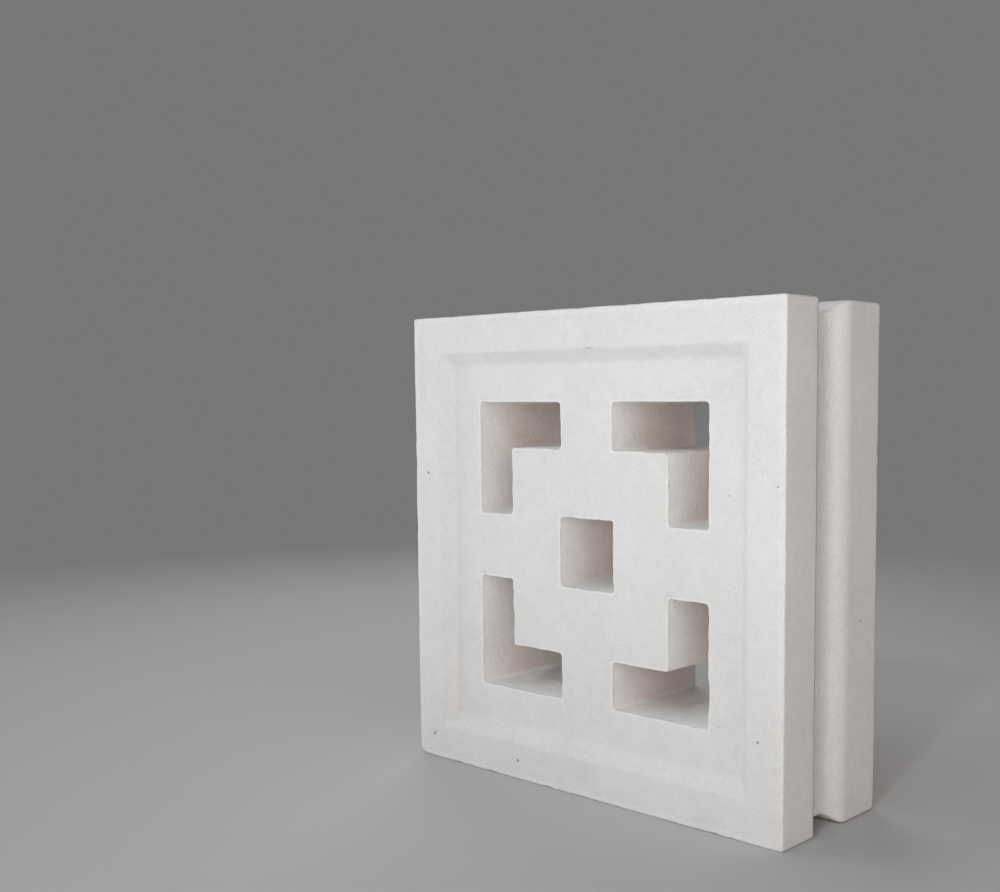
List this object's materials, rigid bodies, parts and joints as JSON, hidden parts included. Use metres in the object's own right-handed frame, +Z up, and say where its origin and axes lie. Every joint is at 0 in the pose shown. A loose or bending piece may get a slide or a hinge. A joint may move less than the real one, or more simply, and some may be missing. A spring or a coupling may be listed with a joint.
{
  "type": "concrete screen block",
  "caption": "Square cast-concrete screen block: right-angled slots set round a square opening, a sunk bevelled panel in each face, and a mortar groove round all its edges.",
  "frame": {"origin": "middle of the bottom of the block's bounding box, on the surface that it stands on", "axes": "+X to the right and +Z up as seen from the show face, which looks along -Y; +Y runs through the thickness, from the show face to the rear face"},
  "size_m": [0.3, 0.1, 0.3],
  "materials": {
    "cast_concrete": "white cement concrete as cast against a smooth mould, matte, with fine sand grain and dark specks"
  },
  "bodies": {
    "root": {"breeze_block": "cast_concrete"}
  },
  "joints": []
}
